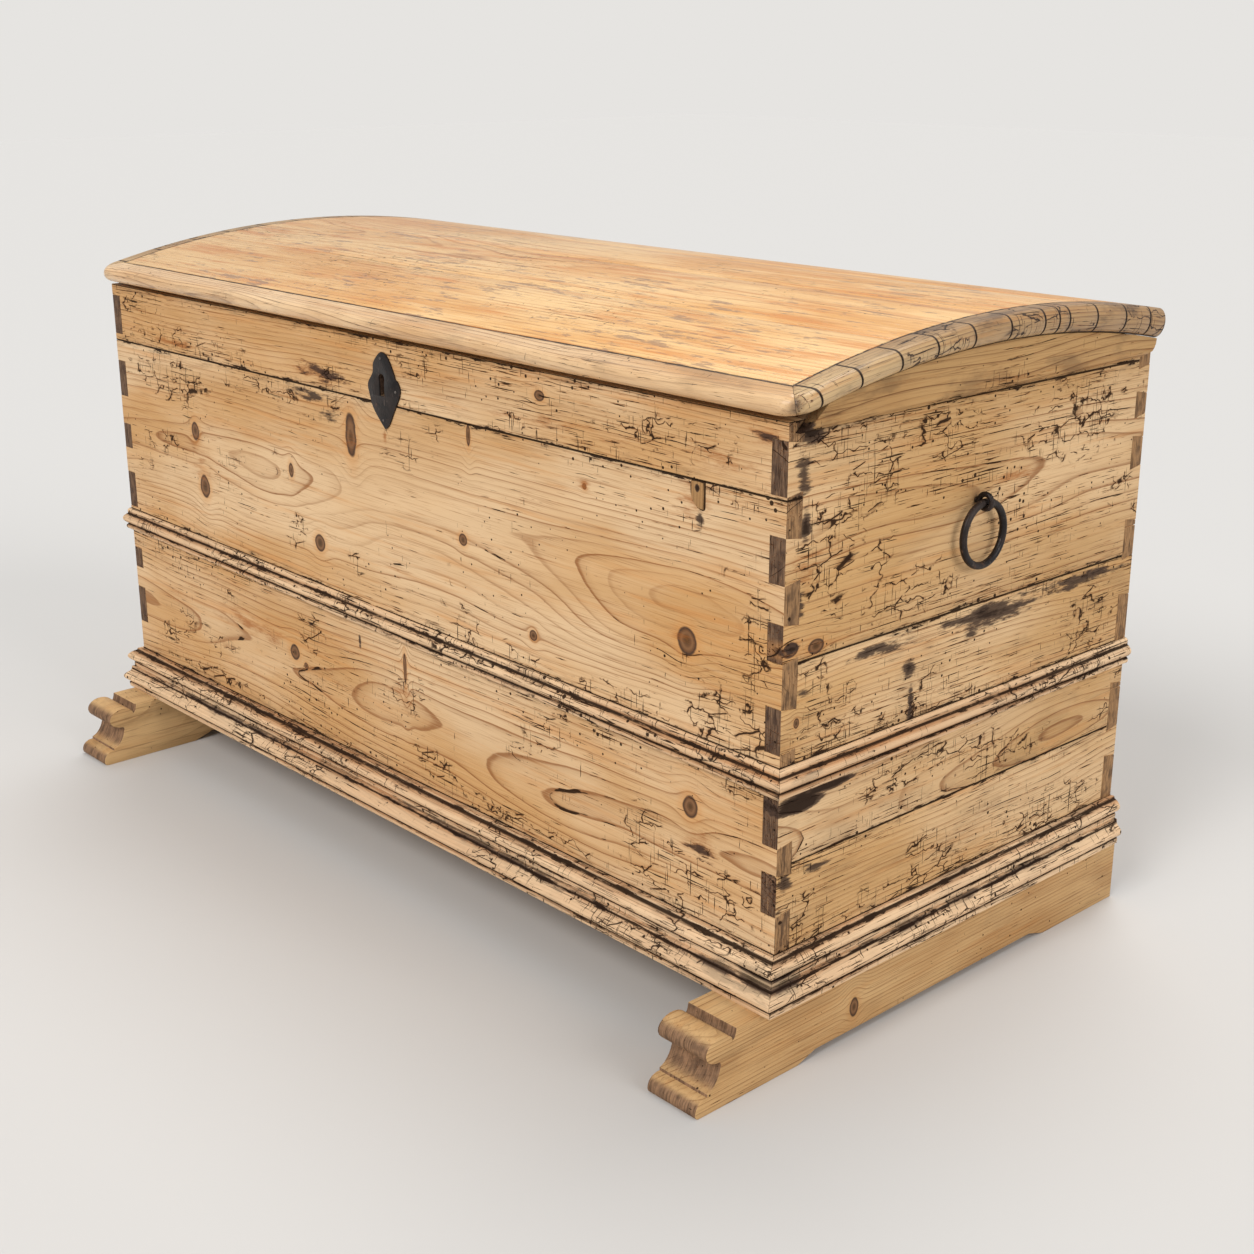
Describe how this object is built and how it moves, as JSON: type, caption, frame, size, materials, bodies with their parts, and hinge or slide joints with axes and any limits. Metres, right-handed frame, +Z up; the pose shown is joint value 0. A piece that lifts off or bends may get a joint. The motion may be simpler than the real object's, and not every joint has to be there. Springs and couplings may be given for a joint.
{
  "type": "blanket chest",
  "caption": "Pine blanket chest with dovetailed corners, a shallow arched lid, mitred mouldings, iron ring handles, a lock with escutcheon, and sledge feet with scrolled toes.",
  "frame": {"origin": "centre of the bounding box, on the floor the feet stand on", "axes": "+X along the length to the right as seen from the front, +Y from the lock side to the hinge side, +Z up"},
  "size_m": [1.242, 0.671, 0.6982],
  "materials": {
    "board_pine": "old stripped pine, waxed, soft sheen",
    "lid_pine": "old stripped pine, waxed to a satin polish",
    "moulding_pine": "old stripped pine, waxed, dark in the quirks",
    "foot_pine": "clean sawn and moulded pine, waxed",
    "inside_pine": "planed pine, unfinished",
    "iron": "dark brown-black forged iron, worn"
  },
  "bodies": {
    "chest_body": {"front_lower_board": "board_pine", "front_middle_board": "board_pine", "front_top_board": "board_pine", "front_plug": "board_pine", "back_lower_board": "board_pine", "back_middle_board": "board_pine", "back_top_board": "board_pine", "left_lower_board": "board_pine", "left_middle_board": "board_pine", "left_upper_board": "board_pine", "right_lower_board": "board_pine", "right_middle_board": "board_pine", "right_upper_board": "board_pine", "floor_board_front": "inside_pine", "floor_board_middle": "inside_pine", "floor_board_back": "inside_pine", "waist_moulding_front": "moulding_pine", "waist_moulding_left": "moulding_pine", "waist_moulding_right": "moulding_pine", "plinth_upper_front": "moulding_pine", "plinth_upper_left": "moulding_pine", "plinth_upper_right": "moulding_pine", "plinth_lower_front": "moulding_pine", "plinth_lower_left": "moulding_pine", "plinth_lower_right": "moulding_pine", "foot_left": "foot_pine", "foot_right": "foot_pine", "till_front": "inside_pine", "till_bottom": "inside_pine", "escutcheon": "iron", "lock_case": "iron", "ring_eye_left": "iron", "ring_eye_right": "iron", "hinge_body_strap_left": "iron", "hinge_body_strap_right": "iron", "hinge_pin_left": "iron", "hinge_pin_right": "iron"},
    "lid": {"lid_board_front": "lid_pine", "lid_board_front_middle": "lid_pine", "lid_board_back_middle": "lid_pine", "lid_board_back": "lid_pine", "lid_moulding_front": "moulding_pine", "lid_moulding_left": "moulding_pine", "lid_moulding_right": "moulding_pine", "lid_cleat_left": "lid_pine", "lid_cleat_right": "lid_pine", "lid_staple": "iron", "hinge_lid_strap_left": "iron", "hinge_lid_strap_right": "iron"},
    "ring_left": {"ring_left": "iron"},
    "ring_right": {"ring_right": "iron"},
    "lock_bolt": {"lock_bolt": "iron"}
  },
  "joints": [
    {"name": "lid_hinge", "type": "hinge", "parent": "chest_body", "child": "lid", "pos_m": [0, 0.32735, 0.6382], "axis": [-1, 0, 0], "range_deg": [0, 100]},
    {"name": "ring_left_swing", "type": "hinge", "parent": "chest_body", "child": "ring_left", "pos_m": [-0.611, 0.035, 0.521], "axis": [0, 1, 0], "range_deg": [-6, 186]},
    {"name": "ring_right_swing", "type": "hinge", "parent": "chest_body", "child": "ring_right", "pos_m": [0.611, 0.035, 0.521], "axis": [0, -1, 0], "range_deg": [-6, 186]},
    {"name": "lock_bolt_slide", "type": "slide", "parent": "chest_body", "child": "lock_bolt", "axis": [1, 0, 0], "range_m": [-0.012, 0]}
  ]
}
